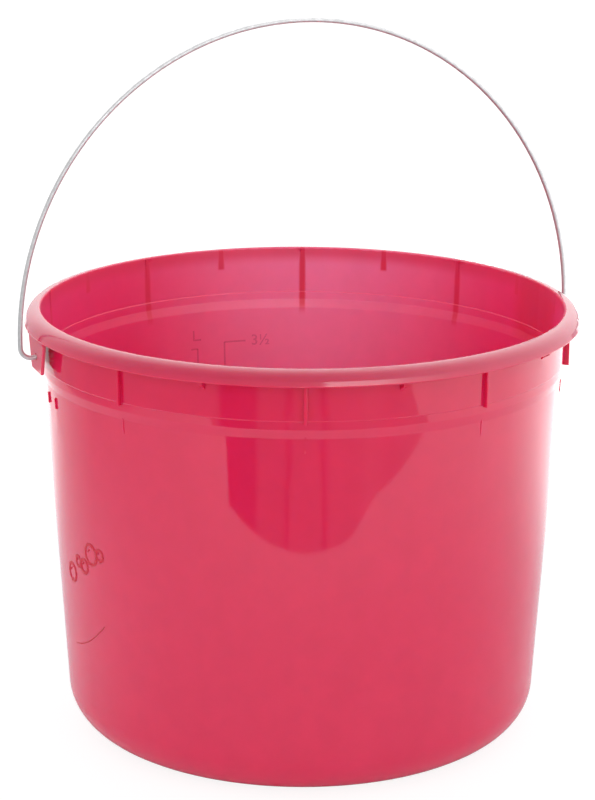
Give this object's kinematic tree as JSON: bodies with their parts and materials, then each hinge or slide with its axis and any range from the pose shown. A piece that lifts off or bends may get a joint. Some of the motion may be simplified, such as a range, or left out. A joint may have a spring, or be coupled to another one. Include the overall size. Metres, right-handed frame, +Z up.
{
  "type": "wash bucket",
  "caption": "Round moulded plastic wash pail with a rolled lip, a ribbed collar and a swinging wire bail hooked into two ears.",
  "frame": {"origin": "centre of the foot ring, on the ground", "axes": "+Z up, X through the two ears along the bail's hinge, +Y towards the side that carries the volume marks"},
  "size_m": [0.3524, 0.3354, 0.4319],
  "materials": {
    "pail_plastic": "glossy red moulded plastic, slightly see-through where it is thin",
    "bail_wire": "drawn galvanised wire"
  },
  "bodies": {
    "pail": {"pail": "pail_plastic"},
    "bail": {"wire_bail": "bail_wire"}
  },
  "joints": [
    {"name": "bail_swing", "type": "hinge", "parent": "pail", "child": "bail", "pos_m": [0, 0, 0.241], "axis": [1, 0, 0], "range_deg": [-124, 125]}
  ]
}
